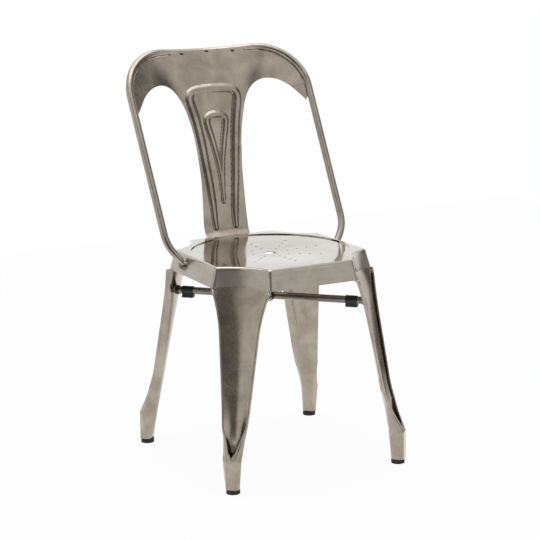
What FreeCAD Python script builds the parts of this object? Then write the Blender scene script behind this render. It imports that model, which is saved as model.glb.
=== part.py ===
import FreeCAD, Part
import math
import os

V = FreeCAD.Vector

# Steel bistro chair, in millimetres. X is across, -Y is the front, Z is up.
# While modelling, x = y = 0 is the middle of the seat and z = 0 is the floor.
# At the end everything moves along Y, so that the origin is the middle of the
# footprint box.

# Sheet, tube and fits
pan_sheet = 1.2
leg_sheet = 1.2
panel_sheet = 1.2
tube_radius = 8.0
tube_wall = 1.2
lap_gap = 0.15
weld_gap = 0.05

# Seat pan: an octagon with hollowed corners and a flared skirt
deck_level = 447.0
skirt_bottom = 405.5
tongue_bottom = 397.0
front_edge_y = 179.2
rear_edge_y = 181.0
front_edge_half = 97.6
rear_edge_half = 100.6
side_half_front = 177.6
side_half_rear = 174.4
side_front_y = 96.3
side_rear_y = 105.6
skirt_flare = 11.0
corner_hollow_top = 13.0
corner_hollow_bottom = 20.0
corner_trim = 7.0
rim_round = 6.0
tongue_half = 46.0

# Seat deck: a round recess with a dished floor, a hand hole and drain holes
recess_radius = 168.0
recess_front = 154.0
recess_corner_reach = 157.0
recess_step = 2.3
dish_depth = 4.4
# Shape of the dished floor: share of the radius, share of the depth
dish_profile = [(0.0, 1.0), (0.36, 0.78), (0.65, 0.25), (0.89, 0.04)]
hand_hole_radius = 13.0
drain_hole_radius = 2.6
drain_arms = 8
drain_rows = 4
drain_first_radius = 40.7
drain_pitch = 23.2

# Legs: folded channels that open outwards along the diagonals of the chair
leg_top = 406.5
leg_bottom = 10.0
sock_top = 70.0
sock_opening_rise = 70.0
shank_start = 80.0
shank_width_rise = 60.0
shank_web_rise = 100.0
mouth_arch_top = 133.0
kick_start = 180.0
bead_radius = 2.3
lip_width = 4.3
leg_width_mid = 63.5
leg_width_taper = 0.167
leg_flare = 27.08
leg_flare_start = 310.0
sock_width_bottom = 30.5
sock_width_taper = 0.162
sock_facet_half = 10.0
sock_facet_depth = 10.0
web_half_top = 17.0
web_half_low = 9.0
web_widening_start = 200.0
web_widening_rise = 200.0
flank_bulge_top = 3.5
flank_bulge_start = 330.0
flank_bulge_rise = 70.0
flank_bulge_sock = 2.0
front_top_reach = 207.3
front_splay = 0.190
front_kick = 20.4
front_channel_depth = 13.035
front_web_splay = 0.172
rear_top_reach = 210.6
rear_splay = 0.2009
rear_kick = 23.1
rear_channel_depth = 13.051
rear_web_splay = 0.195
web_level = 350.0
top_hollow = 9.6
front_sock_depth = 29.635
front_sock_splay = 0.104
rear_sock_depth = 26.104

# Rubber feet
foot_radius = 14.3
foot_stem_radius = 11.0
foot_stem_height = 14.0

# Crossed brace and its plastic stacking clips
brace_level = 348.0
brace_reach_in = 4.0
weld_width = 2.0
bumper_length = 25.0
bumper_wall = 1.4
bumper_drop = 14.5
bumper_half_width = 6.0
bumper_lip = 3.0
bumper_front_inset = 28.34
bumper_rear_inset = 23.79

# Back hoop: reclined plane, bowed top
hoop_half = 212.6
hoop_widening = 0.010
hoop_level = 500.0
hoop_y = 77.3
hoop_recline = 28.2
hoop_top_run = 401.5
hoop_corner_radius = 108.2
hoop_bow = 32.7
hoop_bend_radius = 80.0
knee_level = 467.5
neck_level = 436.5
neck_standoff = 6.87
neck_y = 45.6
eyelet_y = 46.5
eyelet_level = 424.0
eyelet_radius = 10.0
eyelet_thickness = 5.0
bolt_radius = 3.0
bolt_head_radius = 7.5
bolt_head_height = 3.2
washer_radius = 7.0
washer_thickness = 1.2
nut_width = 10.0
nut_height = 5.0
bolt_past_nut = 2.5
bolt_clearance = 0.2

# Back panel: profile of the middle line, as level and depth
panel_bottom = 416.0
panel_foot_height = 24.0
panel_top_gap = 0.36
panel_foot_half = 52.6
panel_waist_half = 50.8
panel_waist_level = 566.0
wing_tip_drop = 112.0
wing_tip_in = 1.78
wing_tip_height = 6.0
window_drop = 63.0
panel_cup = 0.0012
panel_cup_top = 0.0006
wing_blend_start = 80.0
wing_blend_end = 150.0
panel_edge_gap = 2.0
panel_overlap_half = 62.0
panel_overlap_rise = 0.6
rib_height = 4.0
rib_side = 5.0
fine_half = 80.0
tack_radius = 2.6
tack_spread = 62.0


recline = math.radians(hoop_recline)
run_y = math.sin(recline)
run_z = math.cos(recline)


def smooth(value):
    value = max(0.0, min(1.0, value))
    return value * value * (3 - 2 * value)


def line(a, b):
    return Part.LineSegment(a, b).toShape()


def bezier(points):
    curve = Part.BezierCurve()
    curve.setPoles(points)
    return curve.toShape()


def spline(points, closed=False):
    curve = Part.BSplineCurve()
    curve.interpolate(points, closed)
    return curve.toShape()


def meet(p, p_way, q, q_way):
    """Where two lines in a level plane cross."""
    cross = p_way.x * q_way.y - p_way.y * q_way.x
    gap = q - p
    along = (gap.x * q_way.y - gap.y * q_way.x) / cross
    return p + p_way * along


def turn_about(centre, point, angle):
    arm = point - centre
    c, s = math.cos(angle), math.sin(angle)
    return centre + V(arm.x * c - arm.y * s, arm.x * s + arm.y * c, 0)


# Seat pan


def pan_corners(level, inset):
    """Corner points of the pan's outline at a level, front left first."""
    grow = skirt_flare * (deck_level - level) / (deck_level - skirt_bottom) - inset
    slide = grow * math.tan(math.radians(22.5))
    front_half = front_edge_half + slide
    rear_half = rear_edge_half + slide
    return [
        V(-front_half, -front_edge_y - grow, level),
        V(front_half, -front_edge_y - grow, level),
        V(side_half_front + grow, -side_front_y - slide, level),
        V(side_half_rear + grow, side_rear_y + slide, level),
        V(rear_half, rear_edge_y + grow, level),
        V(-rear_half, rear_edge_y + grow, level),
        V(-side_half_rear - grow, side_rear_y + slide, level),
        V(-side_half_front - grow, -side_front_y - slide, level),
    ]


def pan_outline(level, inset=0.0):
    """Straight sides, hollow corners, and a rounded shoulder between them."""
    part = (deck_level - level) / (deck_level - skirt_bottom)
    hollow = corner_hollow_top + (corner_hollow_bottom - corner_hollow_top) * part
    corners = pan_corners(level, inset)
    edges = []
    for side in range(4):
        a, b = corners[2 * side], corners[2 * side + 1]
        c = corners[(2 * side + 2) % 8]
        way = (b - a).normalize()
        chord = c - b
        outward = V(chord.y, -chord.x, 0).normalize()
        radius = (chord.Length**2 / 4 + hollow**2) / (2 * hollow)
        centre = (b + c) * 0.5 + outward * (radius - hollow)
        step = corner_trim / radius
        arc_start = turn_about(centre, b, -step)
        arc_end = turn_about(centre, c, step)
        arc_mid = (b + c) * 0.5 - outward * hollow
        start_way = V(arc_start.y - centre.y, centre.x - arc_start.x, 0)
        end_way = V(arc_end.y - centre.y, centre.x - arc_end.x, 0)
        line_start, line_end = a + way * corner_trim, b - way * corner_trim
        d = corners[(2 * side + 3) % 8]
        next_way = (d - c).normalize()
        next_start = c + next_way * corner_trim
        edges.append(line(line_start, line_end))
        shoulder = meet(line_end, way, arc_start, start_way)
        edges.append(bezier([line_end, shoulder, arc_start]))
        edges.append(Part.Arc(arc_start, arc_mid, arc_end).toShape())
        shoulder = meet(arc_end, end_way, next_start, next_way)
        edges.append(bezier([arc_end, shoulder, next_start]))
    return Part.Wire(edges)


def recess_tool(drop):
    """Space above the dished floor, lowered and widened by the sheet."""
    rim = deck_level - recess_step - drop
    radius = recess_radius + drop
    floor = [V(out * recess_radius, 0, rim - deep * dish_depth) for out, deep in dish_profile]
    floor.append(V(radius, 0, rim))
    top = deck_level + 5
    edges = [
        spline(floor),
        line(floor[-1], V(radius, 0, top)),
        line(V(radius, 0, top), V(0, 0, top)),
        line(V(0, 0, top), floor[0]),
    ]
    face = Part.Face(Part.Wire(edges))
    tool = face.revolve(V(0, 0, 0), V(0, 0, 1), 360)
    depth = 2 * recess_radius
    block = Part.makeBox(2 * depth, depth, 100, V(-depth, -depth, deck_level - 50))
    flat = block.copy()
    flat.translate(V(0, -recess_front - drop, 0))
    tool = tool.cut(flat)
    for turn in (-45, 45):
        flat = block.copy()
        flat.translate(V(0, -recess_corner_reach - drop, 0))
        flat.rotate(V(0, 0, 0), V(0, 0, 1), turn)
        tool = tool.cut(flat)
    return tool


def pan_frustum(top, bottom, inset):
    return Part.makeLoft([pan_outline(top, inset), pan_outline(bottom, inset)], True, True)


def tongue_room():
    """Diagonal blocks that keep the skirt's tongues below the straight skirts."""
    length = 600.0
    bars = []
    for turn in (45, 135):
        start = V(-length / 2, -tongue_half, tongue_bottom - 20)
        bar = Part.makeBox(length, 2 * tongue_half, 60, start)
        bar.rotate(V(0, 0, 0), V(0, 0, 1), turn)
        bars.append(bar)
    return bars[0].fuse(bars[1])


def make_seat_pan():
    outer = pan_frustum(deck_level, tongue_bottom, 0.0)
    rim = [e for e in outer.Edges if e.BoundBox.ZMin > deck_level - 0.01]
    outer = outer.makeFillet(rim_round, rim)
    below_depth = skirt_bottom - tongue_bottom + 10
    below = Part.makeBox(600, 600, below_depth, V(-300, -300, skirt_bottom - below_depth))
    outer = outer.cut(below.cut(tongue_room()))
    inner = pan_frustum(deck_level - pan_sheet, tongue_bottom - 5, pan_sheet)
    rim = [e for e in inner.Edges if e.BoundBox.ZMin > deck_level - pan_sheet - 0.01]
    inner = inner.makeFillet(rim_round - pan_sheet, rim)
    pan = outer.cut(recess_tool(0.0)).cut(inner.cut(recess_tool(pan_sheet)))
    low = deck_level - 30
    holes = [Part.makeCylinder(hand_hole_radius, 60, V(0, 0, low))]
    for arm in range(drain_arms):
        angle = 2 * math.pi * arm / drain_arms
        for row in range(drain_rows):
            reach = drain_first_radius + row * drain_pitch
            spot = V(reach * math.cos(angle), reach * math.sin(angle), low)
            holes.append(Part.makeCylinder(drain_hole_radius, 60, spot))
    pan = pan.cut(Part.makeCompound(holes))
    for side in (-1, 1):
        pan = pan.cut(bolt_hole(side))
    return pan


def skirt_face_at(y, level):
    """Half width of the side skirt's outer face."""
    grow = skirt_flare * (deck_level - level) / (deck_level - skirt_bottom)
    share = (y + side_front_y) / (side_rear_y + side_front_y)
    return side_half_front + (side_half_rear - side_half_front) * share + grow


def skirt_normal(side):
    """Outward way of the side skirt, square to its outer face."""
    along = V(side_half_rear - side_half_front, side_rear_y + side_front_y, 0)
    down = V(skirt_flare, 0, skirt_bottom - deck_level)
    outward = down.cross(along).normalize()
    return V(side * outward.x, outward.y, outward.z)


def skirt_point(side):
    """Where the bolt's axis meets the skirt's outer face."""
    return V(side * skirt_face_at(eyelet_y, eyelet_level), eyelet_y, eyelet_level)


def bolt_hole(side):
    normal = skirt_normal(side)
    start = skirt_point(side) - normal * 30
    return Part.makeCylinder(bolt_radius + bolt_clearance, 60, start, normal)


# Legs


class Leg:
    """Reaches of one pair of legs, measured outwards along the diagonal."""

    def __init__(self, top, splay, kick, depth, web_splay, sock_depth, sock_splay):
        self.top = top
        self.splay = splay
        self.kick = kick
        self.web = self.rim(web_level) - depth
        self.web_splay = web_splay
        self.sock_web = self.rim(leg_bottom) - sock_depth
        self.sock_splay = sock_splay

    def rim(self, z):
        z = max(z, sock_top)
        bend = max(0.0, (kick_start - z) / (kick_start - sock_top))
        return self.top + self.splay * (leg_top - z) + self.kick * bend**2

    def back(self, z):
        high = self.web + self.web_splay * (web_level - z)
        high -= top_hollow * max(0.0, (z - web_level) / (leg_top - web_level)) ** 2
        low = self.sock_web + self.sock_splay * (leg_bottom - z)
        share = smooth((z - shank_start) / shank_web_rise)
        return high * share + low * (1 - share)


front_leg = Leg(
    front_top_reach, front_splay, front_kick, front_channel_depth, front_web_splay,
    front_sock_depth, front_sock_splay,
)
rear_leg = Leg(
    rear_top_reach, rear_splay, rear_kick, rear_channel_depth, rear_web_splay,
    rear_sock_depth, rear_web_splay,
)
leg_levels = [sock_top + (leg_top + 12 - sock_top) * step / 20 for step in range(21)]


def leg_width(z):
    high = leg_width_mid + leg_width_taper * (z - kick_start)
    high += leg_flare * max(0.0, (z - leg_flare_start) / (leg_top - leg_flare_start)) ** 2
    low = sock_width_bottom + sock_width_taper * (z - leg_bottom)
    share = smooth((z - shank_start) / shank_width_rise)
    return high * share + low * (1 - share)


def mouth_half(z):
    """Half width of the channel's open mouth, a pointed arch at its foot."""
    if z <= sock_top:
        return 0.0
    rise = (z - sock_top) / (mouth_arch_top - sock_top)
    open_half = leg_width(z) / 2 - lip_width
    if rise >= 1:
        return open_half
    return open_half * math.sqrt(rise) * (1 - 0.15 * (1 - rise))


def leg_section(leg, z, inset):
    """Closed outline of the folded channel: web, flanks, rolled beads, front."""
    closed = 1 - smooth((z - sock_top) / sock_opening_rise)
    half = leg_width(z) / 2 - inset
    rim = leg.rim(z) - inset
    back = leg.back(z) + inset
    bead = bead_radius - inset
    open_front = leg_width(z) / 2 - bead_radius
    fold_depth = 2 * bead * (1 - closed) + sock_facet_depth * closed
    flank_half = open_front * (1 - closed) + half * closed
    widening = smooth((z - web_widening_start) / web_widening_rise)
    web_half = web_half_low + (web_half_top - web_half_low) * widening
    flank_u = rim - fold_depth
    bulge = flank_bulge_top * smooth((z - flank_bulge_start) / flank_bulge_rise)
    bulge += flank_bulge_sock * closed
    mid_u = (flank_u + back) / 2 - 0.8 * bulge
    mid_t = (flank_half + web_half) / 2 + bulge
    rolled = [
        (0, open_front),
        (0, half),
        (bead, half + 0.3),
        (2 * bead, half),
        (2 * bead, open_front),
    ]
    facet = sock_facet_half - 0.4 * inset
    reach = half - facet
    folded = [
        (0, facet),
        (0.1 * sock_facet_depth, facet + 0.3 * reach),
        (0.5 * sock_facet_depth, facet + 0.55 * reach),
        (0.9 * sock_facet_depth, half - 0.5),
        (sock_facet_depth, half),
    ]
    right = []
    for (roll_u, roll_t), (fold_u, fold_t) in zip(rolled, folded):
        u = rim - roll_u * (1 - closed) - fold_u * closed
        right.append(V(u, roll_t * (1 - closed) + fold_t * closed, z))
    trough = [
        V(flank_u, flank_half, z),
        V(mid_u, mid_t, z),
        V(back, web_half, z),
        V(back, -web_half, z),
        V(mid_u, -mid_t, z),
        V(flank_u, -flank_half, z),
    ]
    left = [V(p.x, -p.y, z) for p in reversed(right)]
    curve = Part.BSplineCurve()
    curve.buildFromPoles(trough, False, 3)
    edges = [bezier(right), curve.toShape(), bezier(left), line(left[-1], right[0])]
    return Part.Wire(edges)


def leg_block(leg, inset, low, high):
    """Solid channel outline between two levels: a straight sock, then a curved shank."""
    sections = [leg_section(leg, z, inset) for z in leg_levels]
    shank = Part.makeLoft(sections, True, False, False, 3)
    sections = [leg_section(leg, z, inset) for z in (leg_bottom - 4, sock_top)]
    sock = Part.makeLoft(sections, True, True)
    keep = Part.makeBox(400, 400, high - low, V(0, -200, low))
    if low > sock_top:
        return shank.common(keep)
    return shank.fuse(sock).common(keep)


def mouth_tool(leg):
    sections = []
    count = 20
    for step in range(count + 1):
        z = sock_top + 0.5 + (leg_top + 13.5 - sock_top) * step / count
        m = mouth_half(z)
        near = leg.rim(z) - 3.0
        far = leg.rim(z) + 12.0
        corners = [V(near, -m, z), V(far, -m, z), V(far, m, z), V(near, m, z)]
        sections.append(Part.makePolygon(corners + corners[:1]))
    return Part.makeLoft(sections, True, False, False, 3)


def turned(shape, angle):
    shape = shape.copy()
    shape.rotate(V(0, 0, 0), V(0, 0, 1), angle)
    return shape


def make_leg(leg):
    outer = leg_block(leg, 0.0, leg_bottom, leg_top)
    inner = leg_block(leg, leg_sheet, leg_bottom - 1, leg_top + 1)
    channel = outer.cut(inner)
    return channel.cut(mouth_tool(leg))


# Rubber feet


def make_foot(leg):
    middle = (leg.rim(leg_bottom) + leg.back(leg_bottom)) / 2
    disc = Part.makeCylinder(foot_radius, leg_bottom, V(middle, 0, 0))
    stem = Part.makeCylinder(foot_stem_radius, foot_stem_height, V(middle, 0, leg_bottom))
    return disc.fuse(stem).removeSplitter()


# Crossed brace


def rod(start, end, radius):
    """Round bar between two points."""
    way = end - start
    return Part.makeCylinder(radius, way.Length, start, way)


def brace_end(leg):
    """Reach of the brace's axis where it would enter the leg's web."""
    return leg.back(brace_level) + brace_reach_in


def brace_tube(start, end):
    return rod(start, end, tube_radius).cut(rod(start, end, tube_radius - tube_wall))


def make_brace_long():
    start = V(-brace_end(rear_leg), 0, brace_level)
    end = V(brace_end(front_leg), 0, brace_level)
    tube = brace_tube(start, end)
    tube = tube.cut(leg_block(front_leg, -lap_gap, brace_level - 20, brace_level + 20))
    rear = leg_block(rear_leg, -lap_gap, brace_level - 20, brace_level + 20)
    tube = tube.cut(turned(rear, 180))
    return turned(tube, -45)


def make_brace_half(leg, angle):
    start = V(0, 0, brace_level)
    end = V(brace_end(leg), 0, brace_level)
    tube = brace_tube(start, end)
    across = rod(V(0, -40, brace_level), V(0, 40, brace_level), tube_radius + lap_gap)
    tube = tube.cut(across)
    tube = tube.cut(leg_block(leg, -lap_gap, brace_level - 20, brace_level + 20))
    return turned(tube, angle)


def weld_ring(start, end, keep_out):
    """Thin bead round a tube, trimmed to stay off what it is laid against."""
    ring = rod(start, end, tube_radius + weld_width)
    ring = ring.cut(rod(start, end, tube_radius + weld_gap))
    for body in keep_out:
        ring = ring.cut(body)
    return ring


def make_brace_leg_welds():
    rings = []
    for leg, angles in ((front_leg, (-45, -135)), (rear_leg, (45, 135))):
        block = leg_block(leg, -weld_gap, brace_level - 20, brace_level + 20)
        end = V(brace_end(leg), 0, brace_level)
        start = V(leg.back(brace_level) - weld_width - 1.5, 0, brace_level)
        ring = weld_ring(start, end, [block])
        rings += [turned(ring, angle) for angle in angles]
    return Part.makeCompound(rings)


def make_brace_cross_welds():
    across = rod(V(0, -40, brace_level), V(0, 40, brace_level), tube_radius + weld_gap)
    start = V(0, 0, brace_level)
    end = V(tube_radius + weld_width, 0, brace_level)
    ring = weld_ring(start, end, [across])
    near = Part.makeBox(30, 60, 60, V(tube_radius * 0.35, -30, brace_level - 30))
    ring = ring.common(near)
    return Part.makeCompound([turned(ring, -135), turned(ring, 45)])


def make_bumper(reach, angle):
    """Plastic clip round the brace tube, with a hooked lip along its foot."""
    start, end = V(0, 0, 0), V(bumper_length, 0, 0)
    body = rod(start, end, tube_radius + bumper_wall)
    corner = V(0, -bumper_half_width, -bumper_drop)
    foot = Part.makeBox(bumper_length, 2 * bumper_half_width, bumper_drop, corner)
    lip_reach = bumper_half_width + bumper_lip
    lip = Part.makeBox(bumper_length, lip_reach, bumper_lip, V(0, 0, -bumper_drop))
    clip = body.fuse(foot).fuse(lip)
    clip = clip.cut(rod(start, end, tube_radius + lap_gap))
    clip.translate(V(reach - bumper_length / 2, 0, brace_level))
    return turned(clip, angle)


# Back hoop

plane_normal = V(0, run_z, -run_y)
knee = V(hoop_half + (knee_level - hoop_level) * hoop_widening, 0, knee_level)
knee.y = hoop_y + (knee_level - hoop_level) * run_y / run_z
neck = V(skirt_face_at(eyelet_y, eyelet_level) + neck_standoff, neck_y, neck_level)


def hoop_base(x, run):
    """Point on the reclined plane, a run up its slope."""
    return V(x, hoop_y + run * run_y, hoop_level + run * run_z)


corner_run = hoop_top_run - hoop_corner_radius
corner_half = hoop_half + hoop_widening * corner_run


def hoop_bow_at(x):
    return hoop_bow * (1 - (x / corner_half) ** 2)


def hoop_corner(angle):
    """Centre of the tube round the upper corner, angle from the upright."""
    x = corner_half - hoop_corner_radius * (1 - math.cos(angle))
    run = corner_run + hoop_corner_radius * math.sin(angle)
    return hoop_base(x, run) + plane_normal * hoop_bow_at(x)


def hoop_top(x):
    return hoop_base(x, hoop_top_run) + plane_normal * hoop_bow_at(x)


def hoop_stations():
    """Points and ways along the right half of the upper hoop."""
    count = 4
    stations = []
    for step in range(count + 1):
        angle = math.pi / 2 * step / count
        x = corner_half - hoop_corner_radius * (1 - math.cos(angle))
        way = V(-math.sin(angle), run_y * math.cos(angle), run_z * math.cos(angle))
        way += plane_normal * (2 * hoop_bow * x / corner_half**2 * math.sin(angle))
        stations.append((hoop_corner(angle), way.normalize()))
    reach = corner_half - hoop_corner_radius
    for x in (reach / 2, 0.0):
        way = V(-1, 0, 0) + plane_normal * (2 * hoop_bow * x / corner_half**2)
        stations.append((hoop_top(x), way.normalize()))
    return stations


def arc_from(p, way, q):
    """Arc that leaves p along way and ends at q."""
    chord = q - p
    side = way - chord * (way.dot(chord) / chord.dot(chord))
    angle = math.asin(min(1.0, side.Length))
    middle = (p + q) * 0.5 + side.normalize() * (chord.Length / 2 * math.tan(angle / 2))
    return Part.Arc(p, middle, q).toShape()


def biarc(p, p_way, q, q_way):
    gap = q - p
    ways = p_way + q_way
    spread = 2 * (1 - p_way.dot(q_way))
    reach = (math.sqrt(gap.dot(ways) ** 2 + spread * gap.dot(gap)) - gap.dot(ways)) / spread
    joint = (p + p_way * reach + q - q_way * reach) * 0.5
    back = arc_from(q, q_way * -1, joint)
    second = Part.Edge(back.Curve, back.FirstParameter, back.LastParameter)
    return [arc_from(p, p_way, joint), second]


def hoop_half_path():
    """Right half of the tube's centre line, from the neck to the top middle."""
    upright = (hoop_base(corner_half, corner_run) - knee).normalize()
    lower = (knee - neck).normalize()
    half_turn = math.acos(upright.dot(lower)) / 2
    trim = hoop_bend_radius * math.tan(half_turn)
    bend_start = knee - lower * trim
    bend_end = knee + upright * trim
    edges = [line(neck, bend_start), arc_from(bend_start, lower, bend_end)]
    stations = hoop_stations()
    edges.append(line(bend_end, stations[0][0]))
    for (p, p_way), (q, q_way) in zip(stations, stations[1:]):
        edges += biarc(p, p_way, q, q_way)
    return edges, lower


def make_back_hoop():
    edges, lower = hoop_half_path()
    right = Part.Wire(Part.__sortEdges__(edges))
    left = right.mirror(V(0, 0, 0), V(1, 0, 0))
    path = Part.Wire(Part.__sortEdges__(right.Edges + left.Edges))

    def tube(radius):
        ring = Part.Wire([Part.Circle(neck, lower, radius).toShape()])
        return path.makePipeShell([ring], True, False)

    hoop = tube(tube_radius).cut(tube(tube_radius - tube_wall))
    ends = [hoop_end(side, lower) for side in (-1, 1)]
    hoop = hoop.fuse(ends)
    for side in (-1, 1):
        hoop = hoop.cut(bolt_hole(side))
        normal = skirt_normal(side)
        seat = eyelet_centre(side) + normal * (eyelet_thickness / 2)
        room = bolt_head_radius + bolt_clearance
        hoop = hoop.cut(Part.makeCylinder(room, 2 * tube_radius, seat, normal))
    return hoop


def eyelet_centre(side):
    return skirt_point(side) + skirt_normal(side) * (lap_gap + eyelet_thickness / 2)


def oval(middle, wide, along, half_wide, half_deep):
    """Closed round or flattened outline, square to the way along."""
    wide = (wide - along * wide.dot(along)).normalize()
    deep = along.cross(wide)
    if half_wide > half_deep:
        curve = Part.Ellipse(V(0, 0, 0), half_wide, half_deep)
    else:
        curve = Part.Circle(V(0, 0, 0), V(0, 0, 1), half_wide)
    outline = curve.toShape()
    turn = FreeCAD.Rotation(wide, deep, along, "ZXY")
    outline.Placement = FreeCAD.Placement(middle, turn)
    return Part.Wire([outline])


def hoop_end(side, lower):
    """Tube end squeezed flat, with a round eyelet lying on the skirt."""
    normal = skirt_normal(1)
    centre = eyelet_centre(1)
    down = (centre - neck).normalize()
    wide = normal.cross(down).normalize()
    flat_down = wide.cross(normal).normalize()
    plug = tube_radius - tube_wall / 2
    sections = [
        oval(neck + lower * 4, wide, lower * -1, plug, plug),
        oval(neck - lower, wide, lower * -1, plug, plug),
        oval(neck * 0.55 + centre * 0.45, wide, down, 9.2, 4.4),
        oval(centre, wide, flat_down, eyelet_radius - 0.4, eyelet_thickness / 2 - 0.15),
    ]
    sleeve = Part.makeLoft(sections, True, False, False, 3)
    base = centre - normal * (eyelet_thickness / 2)
    disc = Part.makeCylinder(eyelet_radius, eyelet_thickness, base, normal)
    end = disc.fuse(sleeve)
    end = end.cut(rod(base - normal * 12, base, 30))
    if side < 0:
        end = end.mirror(V(0, 0, 0), V(1, 0, 0))
    return end


# Fasteners of the hoop


def each_side(make):
    return Part.makeCompound([make(side) for side in (-1, 1)])


def hoop_bolt(side):
    normal = skirt_normal(side)
    seat = eyelet_centre(side) + normal * (eyelet_thickness / 2 + lap_gap)
    inner = pan_sheet + washer_thickness + nut_height + bolt_past_nut
    length = eyelet_thickness + inner + 5 * lap_gap
    shank = Part.makeCylinder(bolt_radius, length, seat - normal * length, normal)
    head = Part.makeCylinder(bolt_head_radius, bolt_head_height, seat, normal)
    crown = seat + normal * bolt_head_height
    rim = [e for e in head.Edges if abs((e.CenterOfMass - crown).dot(normal)) < 0.01]
    head = head.makeFillet(bolt_head_height * 0.7, rim)
    return shank.fuse(head).removeSplitter()


def inner_seat(side):
    """Point on the bolt's axis just inside the skirt's inner face."""
    normal = skirt_normal(side)
    return skirt_point(side) - normal * (pan_sheet + lap_gap)


def hoop_washer(side):
    normal = skirt_normal(side)
    start = inner_seat(side) - normal * washer_thickness
    ring = Part.makeCylinder(washer_radius, washer_thickness, start, normal)
    bore = bolt_radius + bolt_clearance
    return ring.cut(Part.makeCylinder(bore, washer_thickness, start, normal))


def hoop_nut(side):
    normal = skirt_normal(side)
    start = inner_seat(side) - normal * (washer_thickness + lap_gap + nut_height)
    corner = nut_width / 2 / math.cos(math.radians(30))
    points = []
    for step in range(7):
        angle = math.radians(60 * step)
        points.append(V(corner * math.cos(angle), corner * math.sin(angle), 0))
    block = Part.Face(Part.makePolygon(points)).extrude(V(0, 0, nut_height))
    block.Placement = FreeCAD.Placement(start, FreeCAD.Rotation(V(0, 0, 1), normal))
    hole = Part.makeCylinder(bolt_radius + bolt_clearance, nut_height, start, normal)
    return block.cut(hole)


# Back panel

panel_foot_top = panel_bottom + panel_foot_height
panel_top_level = hoop_top(0.0).z + panel_overlap_rise
panel_top_y = hoop_top(0.0).y - tube_radius - panel_sheet - panel_top_gap
wing_tip_level = panel_top_level - wing_tip_drop
window_top = panel_top_level - window_drop
panel_edge_x = (
    hoop_half + hoop_widening * (wing_tip_level - hoop_level) / run_z
    - tube_radius - panel_edge_gap
)
wing_tip_x = panel_edge_x - wing_tip_in


def smooth_value(points, z):
    """Value at z on a smooth curve through (z, value) points."""
    last = len(points) - 1
    slopes = []
    for index in range(last + 1):
        low, high = points[max(index - 1, 0)], points[min(index + 1, last)]
        slopes.append((high[1] - low[1]) / (high[0] - low[0]))
    index = 0
    while index < last - 1 and z > points[index + 1][0]:
        index += 1
    (z0, v0), (z1, v1) = points[index], points[index + 1]
    span = z1 - z0
    t = (z - z0) / span
    rise = v0 + (v1 - v0) * (3 * t**2 - 2 * t**3)
    lean = slopes[index] * (t**3 - 2 * t**2 + t) + slopes[index + 1] * (t**3 - t**2)
    return rise + span * lean


def skirt_rear(z):
    return rear_edge_y + skirt_flare * (deck_level - z) / (deck_level - skirt_bottom) + lap_gap


def panel_middle():
    """Levels and depths of the panel's middle line, foot first."""
    on_skirt = [panel_bottom + 8 * step for step in (-1, 0, 1, 2)]
    foot = [(level, skirt_rear(level)) for level in on_skirt]
    top = [(panel_top_level, panel_top_y), (panel_top_level + 20, panel_top_y + 4.5)]
    behind_seat = [(level, rear_edge_y + depth) for level, depth in splat_profile]
    return foot + behind_seat + top


# Splat's middle line: level, depth behind the seat's rear edge
splat_profile = [
    (443.0, 11.8),
    (452.0, 21.0),
    (464.0, 27.0),
    (482.0, 31.2),
    (520.0, 35.8),
    (566.0, 42.4),
    (608.0, 50.4),
    (650.0, 58.4),
    (700.0, 69.4),
    (745.0, 82.0),
    (790.0, 94.2),
]

# Splat's edge between its foot and its waist, as share of the rise and half width
splat_low_edge = [(0.206, 53.4), (0.476, 52.2)]

# Edge of the open window between waist and wing tip: share across, share up
window_edge = [
    (0.0157, 0.2286),
    (0.0419, 0.4333),
    (0.0937, 0.6190),
    (0.1684, 0.7905),
    (0.2831, 0.9238),
    (0.4207, 0.9881),
    (0.5583, 1.0),
    (0.6894, 0.9752),
    (0.8204, 0.9133),
    (0.9253, 0.8310),
]

# Centre lines of the two U-shaped ribs, right half: x, level, width
outer_rib = [
    (24.5, 462.0, 9.0),
    (26.5, 505.0, 13.0),
    (31.0, 555.0, 14.5),
    (36.8, 610.0, 15.5),
    (42.5, 660.0, 16.5),
    (48.8, 700.0, 17.0),
    (54.5, 724.0, 17.0),
    (57.5, 741.0, 16.5),
    (52.0, 753.0, 16.0),
    (36.0, 758.6, 15.0),
    (0.0, 760.5, 15.0),
]
inner_rib = [
    (5.2, 492.0, 5.5),
    (5.8, 540.0, 8.0),
    (9.0, 600.0, 9.0),
    (15.5, 650.0, 11.5),
    (22.0, 680.0, 12.0),
    (22.0, 695.0, 12.0),
    (13.0, 703.5, 11.0),
    (0.0, 705.5, 11.0),
]


def rib_lift(x, z):
    """How far the sheet is pressed forward at a point by the nearer rib."""
    lift = 0.0
    for half_line in (outer_rib, inner_rib):
        for (x0, z0, w0), (x1, z1, w1) in zip(half_line, half_line[1:]):
            length = math.hypot(x1 - x0, z1 - z0)
            share = ((abs(x) - x0) * (x1 - x0) + (z - z0) * (z1 - z0)) / length**2
            share = max(0.0, min(1.0, share))
            near_x, near_z = x0 + share * (x1 - x0), z0 + share * (z1 - z0)
            gap = math.hypot(abs(x) - near_x, z - near_z)
            half = (w0 + share * (w1 - w0)) / 2
            lift = max(lift, smooth((half + rib_side / 2 - gap) / rib_side))
    return rib_height * lift


def panel_depth(x, z):
    """Front face of the sheet: upright splat, blended into wings that lie in the hoop."""
    cup = panel_cup + (panel_cup_top - panel_cup) * smooth((z - 700) / 100)
    cup *= smooth((z - 438) / 40)
    splat = smooth_value(panel_middle(), z) - cup * x * x
    plane = hoop_y + (z - hoop_level) * run_y / run_z
    wing = plane + hoop_bow_at(x) / run_z
    share = smooth((abs(x) - wing_blend_start) / (wing_blend_end - wing_blend_start))
    return splat * (1 - share) + wing * share - rib_lift(x, z)


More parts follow.
